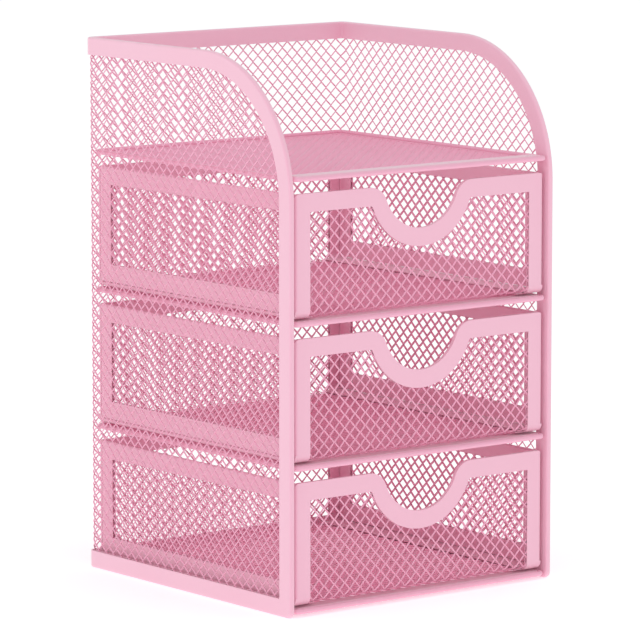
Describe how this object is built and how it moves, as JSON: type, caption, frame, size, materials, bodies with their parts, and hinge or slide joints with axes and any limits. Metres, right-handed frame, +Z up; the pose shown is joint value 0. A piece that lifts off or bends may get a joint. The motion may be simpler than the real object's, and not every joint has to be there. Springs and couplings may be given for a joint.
{
  "type": "desk organizer with drawers",
  "caption": "Free-standing desk organizer of powder-coated expanded mesh: an open pen tray with a high, curved surround over sliding drawers with a finger dip in each face.",
  "frame": {"origin": "middle of the footprint, on the surface that the stand rests on", "axes": "+Z up, -Y to the front, where the drawers pull out, +X to the viewer's right"},
  "size_m": [0.144, 0.1466, 0.235],
  "materials": {
    "rim_strip": "satin powder coat, pale pink",
    "net": "satin powder coat on expanded steel, pink",
    "wire": "satin powder coat, pink",
    "drawer_strip": "satin powder coat, pink"
  },
  "bodies": {
    "stand": {"left_rim": "rim_strip", "right_rim": "rim_strip", "left_mesh": "net", "right_mesh": "net", "back_top_rail": "rim_strip", "back_base_rail": "rim_strip", "back_mesh": "net", "base_shelf_wire": "wire", "base_shelf_mesh": "net", "base_shelf_front_strip": "rim_strip", "lower_shelf_wire": "wire", "lower_shelf_mesh": "net", "lower_shelf_front_strip": "rim_strip", "upper_shelf_wire": "wire", "upper_shelf_mesh": "net", "upper_shelf_front_strip": "rim_strip", "top_tray_wire": "wire", "top_tray_mesh": "net", "top_tray_front_strip": "rim_strip"},
    "bottom_drawer": {"bottom_drawer_face_frame": "drawer_strip", "bottom_drawer_face_mesh": "net", "bottom_drawer_wall_frame": "drawer_strip", "bottom_drawer_back_mesh": "net", "bottom_drawer_floor_mesh": "net", "bottom_drawer_left_frame": "drawer_strip", "bottom_drawer_left_mesh": "net", "bottom_drawer_right_frame": "drawer_strip", "bottom_drawer_right_mesh": "net"},
    "middle_drawer": {"middle_drawer_face_frame": "drawer_strip", "middle_drawer_face_mesh": "net", "middle_drawer_wall_frame": "drawer_strip", "middle_drawer_back_mesh": "net", "middle_drawer_floor_mesh": "net", "middle_drawer_left_frame": "drawer_strip", "middle_drawer_left_mesh": "net", "middle_drawer_right_frame": "drawer_strip", "middle_drawer_right_mesh": "net"},
    "top_drawer": {"top_drawer_face_frame": "drawer_strip", "top_drawer_face_mesh": "net", "top_drawer_wall_frame": "drawer_strip", "top_drawer_back_mesh": "net", "top_drawer_floor_mesh": "net", "top_drawer_left_frame": "drawer_strip", "top_drawer_left_mesh": "net", "top_drawer_right_frame": "drawer_strip", "top_drawer_right_mesh": "net"}
  },
  "joints": [
    {"name": "bottom_drawer_slide", "type": "slide", "parent": "stand", "child": "bottom_drawer", "axis": [0, -1, 0], "range_m": [0, 0.12]},
    {"name": "middle_drawer_slide", "type": "slide", "parent": "stand", "child": "middle_drawer", "axis": [0, -1, 0], "range_m": [0, 0.12]},
    {"name": "top_drawer_slide", "type": "slide", "parent": "stand", "child": "top_drawer", "axis": [0, -1, 0], "range_m": [0, 0.12]}
  ]
}
